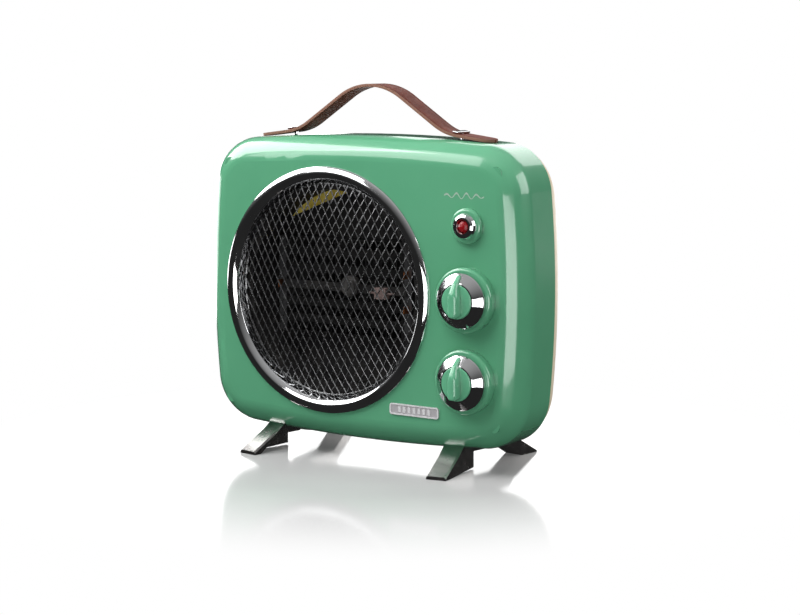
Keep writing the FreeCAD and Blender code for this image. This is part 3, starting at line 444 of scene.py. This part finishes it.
copper, copper_shader, place = finish_named("enamelled_copper", Metallic=1.0)
turns = place.node("ShaderNodeTexWave", {"Vector": place, "Scale": 250.0, "Distortion": 0.6},
                   bands_direction="Z")
drive(copper_shader, height=turns, depth=0.0001,
      Base_Color=turns.blend((0.35, 0.11, 0.04), (0.62, 0.25, 0.10)),
      Roughness=place.noise(300, 3).spread(0.25, 0.4))
dress(copper, "motor_coil", "element_terminals")

# ---- bushing nuts and bearing bushes ----
# Turned from brass bar, with the fine rings that the tool leaves.

brass, brass_shader, place = finish_named("turned_brass", Metallic=1.0)
drive(brass_shader, height=place.noise(900, 2, stretch=(1, 6, 1)), depth=0.00003,
      Base_Color=place.noise(120, 4).spread(0, 1).blend((0.48, 0.34, 0.13), (0.66, 0.48, 0.2)),
      Roughness=place.noise(300, 3).spread(0.2, 0.36))
dress(brass, "bushing_nuts", "bearing_bushes")

# ---- knob caps ----
# Moulded plastic lacquered in the shell's green: a round cap with a raised, boat-shaped grip whose
# point reaches over the chrome skirt to show the setting.

cap_green, cap_shader, place = finish_named("green_lacquered_cap", Metallic=0.0, Coat_Weight=0.7,
                                            Coat_Roughness=0.08, Specular_IOR_Level=0.45)
drive(cap_shader, height=place.noise(500, 2), depth=0.00001,
      Base_Color=place.noise(30, 4).spread(0, 1).blend((0.085, 0.30, 0.17), (0.105, 0.34, 0.20)),
      Roughness=place.noise(150, 3).spread(0.18, 0.28))
# The grip's measures are in millimetres, up from the knob's centre and out from the cap.
CAP_RADIUS, CAP_FRONT, CAP_DEPTH = 13.3 * MM, -63.6 * MM, 2.4 * MM
GRIP_LOW, GRIP_HIGH, GRIP_HALF, TIP_HALF, GRIP_HEIGHT = -12.6, 20.6, 4.7, 1.8, 7.4
KNOB_X, MODE_KNOB_Z, THERMOSTAT_KNOB_Z = 105 * MM, 138.5 * MM, 75 * MM
TAPER_END, SLOPE_START, TIP_HEIGHT, SKIRT_START, SKIRT_RISE = 19, 4, 1.5, 14.5, 0.78
LOW_ROUND, HIGH_ROUND, SUNK, BACK_DEPTH = 1.8, 1.2, 0.4, 0.6


def smooth_step(low, high, value):
    share = min(1, max(0, (value - low) / (high - low)))
    return share * share * (3 - 2 * share)


def rounded_end(distance, radius):
    """Rises from 0 at the end to 1 a radius away, as a quarter circle does."""
    share = min(1, max(0, distance / radius))
    return math.sqrt(share * (2 - share))


def shape_grip(mesh, height):
    """Turns a unit ball into the boat-shaped grip: blunt below, pointed above, sloping to the rim."""
    for vertex in mesh.vertices:
        ball = vertex.co.copy()
        up = GRIP_LOW + (GRIP_HIGH - GRIP_LOW) * (math.asin(max(-1, min(1, ball.z))) / math.pi + 0.5)
        girth = math.hypot(ball.x, ball.y) or 1
        aside, ahead = ball.x / girth, ball.y / girth
        half = GRIP_HALF + (TIP_HALF - GRIP_HALF) * smooth_step(0, TAPER_END, up)
        half *= rounded_end(up - GRIP_LOW, GRIP_HALF) * rounded_end(GRIP_HIGH - up, TIP_HALF)
        tall = GRIP_HEIGHT + (TIP_HEIGHT - GRIP_HEIGHT) * smooth_step(SLOPE_START, GRIP_HIGH, up)
        tall *= rounded_end(up - GRIP_LOW, LOW_ROUND) * rounded_end(GRIP_HIGH - up, HIGH_ROUND)
        foot = CAP_FRONT / MM + SUNK + max(0, up - SKIRT_START) * SKIRT_RISE
        deep = -tall * abs(ahead) ** 0.5 if ahead < 0 else BACK_DEPTH * ahead
        vertex.co = (KNOB_X + math.copysign(abs(aside) ** 0.6, aside) * half * MM,
                     (foot + deep) * MM, height + up * MM)


for knob_name, height in (("mode_knob", MODE_KNOB_Z), ("thermostat_knob", THERMOSTAT_KNOB_Z)):
    bpy.ops.object.select_all(action="DESELECT")
    bpy.ops.mesh.primitive_uv_sphere_add(segments=64, ring_count=48, radius=1, location=(0, 0, 0))
    grip = bpy.context.object
    shape_grip(grip.data, height)
    bpy.ops.object.select_all(action="DESELECT")
    bpy.ops.mesh.primitive_cylinder_add(vertices=96, radius=CAP_RADIUS, depth=CAP_DEPTH,
                                        location=(KNOB_X, CAP_FRONT + CAP_DEPTH / 2, height),
                                        rotation=(math.pi / 2, 0, 0))
    cap = bpy.context.object
    cap.name = knob_name + "_grip_cap"
    bpy.ops.object.transform_apply(location=True, rotation=True, scale=True)
    finished_with(cap, "BEVEL", width=0.9 * MM, segments=4, limit_method="ANGLE")
    finished_with(cap, "BOOLEAN", operation="UNION", object=grip, solver="EXACT")
    bpy.data.objects.remove(grip)
    bpy.ops.object.shade_smooth_by_angle(angle=math.radians(55))
    cap.data.materials.clear()
    cap.data.materials.append(cap_green)
    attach(cap, knob_name)
    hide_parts(knob_name + "_cap")

# ---- lamp ----
# A moulded red lens with a ribbed inside, over a small neon lamp. The bezel's collar holds both.

red, red_shader, place = finish_named("red_lamp_lens", Metallic=0.0, Coat_Weight=0.15, Coat_Roughness=0.04,
                                      Specular_IOR_Level=0.5)
rib = place.node("ShaderNodeTexWave", {"Vector": place, "Scale": 420.0, "Distortion": 0.0},
                 bands_direction="Z")
drive(red_shader, height=rib, depth=0.00006,
      Base_Color=rib.blend((0.15, 0.003, 0.005), (0.28, 0.004, 0.008)),
      Roughness=place.noise(300, 3).spread(0.12, 0.2))
dress(red, "indicator_lens")

glass, glass_shader, place = finish_named("neon_glass", Metallic=0.0, Transmission_Weight=0.8, IOR=1.5)
drive(glass_shader, Base_Color=place.noise(200, 2).spread(0, 1).blend((0.9, 0.6, 0.5), (1.0, 0.75, 0.65)),
      Roughness=place.noise(300, 2).spread(0.05, 0.12))
dress(glass, "neon_lamp")

# ---- badge ----
# A pressed aluminium plate, glued on: satin between a bright raised rim and a row of raised bars.

plate, plate_shader, place = finish_named("pressed_silver_plate", Metallic=0.35, Specular_IOR_Level=0.6)
badge_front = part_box("badge")[0].y
raised = 1 - place.axis("Y").above(badge_front + 0.35 * MM, 0.1 * MM)
drive(plate_shader, height=place.noise(3000, 2, stretch=(0.1, 1, 1)), depth=0.00003,
      Base_Color=raised.blend((0.40, 0.38, 0.40), (0.78, 0.78, 0.79)),
      Roughness=0.42 - raised * 0.2)
dress(plate, "badge")

# ---- strap ----
# One thick band of brown saddle leather with rounded tabs, creased along both edges and a little
# paler at the cut. It is cut flat, then bent to the arch that it has been shaped to.

STRAP_WIDTH = 20.6 * MM
STRAP_THICK = 2.3 * MM
STRAP_Y = -17 * MM
TAB_FLAT = 1 * MM
CREASE_INSET, CREASE_SPREAD, CREASE_DEPTH, FACE_LEVEL = 1.7 * MM, 0.3 * MM, 0.32 * MM, 0.9 * MM
ROW_SHARES = (-1, -0.955, -0.9, -0.845, -0.79, -0.45, 0, 0.45, 0.79, 0.845, 0.9, 0.955, 1)
slope, tab = math.radians(33.8), math.radians(7.3)
arch_radius, bend_radius, bend_x, end_x = 52 * MM, 49 * MM, 70.8 * MM, 111.4 * MM
arch_top = 301.4 * MM
corner_z = arch_top + arch_radius * (1 / math.cos(slope) - 1) - bend_x * math.tan(slope)
bend_reach = bend_radius * math.tan((slope - tab) / 2)
arch_centre_z = arch_top - arch_radius
arch_end = Vector((arch_radius * math.sin(slope), 0, arch_centre_z + arch_radius * math.cos(slope)))
corner = Vector((bend_x, 0, corner_z))
straight = (corner - arch_end).length - bend_reach
tab_length = (end_x - bend_x) / math.cos(tab) - bend_reach
RUNS = ((arch_radius * slope, arch_radius), (straight, None),
        (bend_radius * (slope - tab), -bend_radius), (tab_length, None))
strap_half = sum(length for length, radius in RUNS)


def on_strap(along):
    """Where a point so far along the strap's middle line lies, and which way is up from it."""
    side = -1 if along < 0 else 1
    left = abs(along)
    heading = 0.0
    spot = Vector((0, 0, arch_top))
    for length, radius in RUNS:
        step = min(left, length)
        if radius is None:
            spot += Vector((math.cos(heading), 0, -math.sin(heading))) * step
        else:
            centre = spot - Vector((math.sin(heading), 0, math.cos(heading))) * radius
            heading += step / radius
            spot = centre + Vector((math.sin(heading), 0, math.cos(heading))) * radius
        left -= step
    up = Vector((math.sin(heading) * side, 0, math.cos(heading)))
    return Vector((spot.x * side, 0, spot.z)), up


bpy.ops.object.select_all(action="DESELECT")
bpy.ops.mesh.primitive_grid_add(x_subdivisions=190, y_subdivisions=len(ROW_SHARES) - 1, size=1)
strap = bpy.context.object
strap.name = "leather_strap"
half_width = STRAP_WIDTH / 2
round_end = half_width - TAB_FLAT


def half_across(from_end):
    """Half the strap's width this far from the tip of a rounded tab."""
    if from_end >= round_end:
        return half_width
    return TAB_FLAT + math.sqrt(max(0, round_end ** 2 - (round_end - from_end) ** 2))


for vertex in strap.data.vertices:
    along = vertex.co.x * 2 * strap_half
    row = round((vertex.co.y + 0.5) * (len(ROW_SHARES) - 1))
    vertex.co = (along, ROW_SHARES[row] * half_across(strap_half - abs(along)), 0)
finished_with(strap, "SOLIDIFY", thickness=STRAP_THICK, offset=0)
finished_with(strap, "BEVEL", width=0.55 * MM, segments=3, limit_method="ANGLE",
              angle_limit=math.radians(60))
for vertex in strap.data.vertices:
    along, across, high = vertex.co
    from_end = strap_half - abs(along)
    inset = min(half_across(from_end) - abs(across), from_end)
    groove = math.exp(-((inset - CREASE_INSET) / CREASE_SPREAD) ** 2) * CREASE_DEPTH
    high -= math.copysign(groove, high) if abs(high) > FACE_LEVEL else 0
    spot, up = on_strap(along)
    vertex.co = spot + up * high + Vector((0, STRAP_Y + across, 0))
bpy.ops.object.shade_smooth_by_angle(angle=math.radians(50))

leather, leather_shader, place = finish_named("brown_saddle_leather", Metallic=0.0, Specular_IOR_Level=0.1)
own = Flow(leather.node_tree, leather.node_tree.nodes.new("ShaderNodeUVMap").outputs[0])
from_edge = 0.5 - (own.axis("Y") - 0.5).size()
raw_cut = 1 - from_edge.above(0.006, 0.005)
crease = 1 - (from_edge - 0.075).size().above(0.016, 0.012)
pores = place.cells(1300)
folds = place.noise(240, 5, 0.6)
hide = place.noise(45, 5, 0.6).spread(0, 1).blend((0.070, 0.015, 0.009), (0.135, 0.033, 0.020))
creased = crease.blend(hide, (0.05, 0.014, 0.010))
drive(leather_shader, height=pores.above(0.10, 0.09) * 0.5 + folds - crease * 0.5, depth=0.00016,
      Base_Color=raw_cut.blend(creased, (0.20, 0.105, 0.075)),
      Roughness=folds.spread(0.46, 0.62))
strap.data.materials.append(leather)
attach(strap, "casing")
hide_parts("handle_strap")

# ---- printed flourish ----
# A small silver ornament of four waves, screen printed on the enamel above the lamp. It stands 0.03 mm
# proud of the shell.

bpy.ops.object.select_all(action="DESELECT")
bpy.ops.mesh.primitive_grid_add(x_subdivisions=96, y_subdivisions=1, size=1)
flourish = bpy.context.object
flourish.name = "printed_flourish"
PRINT_LENGTH, PRINT_HEIGHT, PRINT_THICK = 36 * MM, 2.2 * MM, 0.06 * MM
PRINT_X, PRINT_Z, CASE_FRONT = 101.5 * MM, 218.4 * MM, -47 * MM
for vertex in flourish.data.vertices:
    share = vertex.co.x + 0.5
    swell = math.sin(math.pi * share)
    stroke = (0.25 + 0.5 * abs(math.sin(share * 4 * math.pi + 0.8))) * MM
    wave = math.sin(share * 8 * math.pi) * PRINT_HEIGHT * (0.35 + 0.65 * swell)
    vertex.co = (PRINT_X + vertex.co.x * PRINT_LENGTH, CASE_FRONT - PRINT_THICK / 2,
                 PRINT_Z + wave + math.copysign(stroke, vertex.co.y))
bpy.ops.object.mode_set(mode="EDIT")
bpy.ops.mesh.select_all(action="SELECT")
bpy.ops.mesh.extrude_region_move(TRANSFORM_OT_translate={"value": (0, PRINT_THICK, 0)})
bpy.ops.mesh.select_all(action="SELECT")
bpy.ops.mesh.normals_make_consistent(inside=False)
bpy.ops.object.mode_set(mode="OBJECT")
ink, ink_shader, place = finish_named("silver_ink", Metallic=0.4, Specular_IOR_Level=0.5)
drive(ink_shader, height=place.noise(2500, 2), depth=0.00001,
      Base_Color=place.noise(800, 3).spread(0, 1).blend((0.30, 0.38, 0.32), (0.42, 0.50, 0.44)),
      Roughness=place.noise(900, 2).spread(0.35, 0.5))
flourish.data.materials.append(ink)
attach(flourish, "casing")
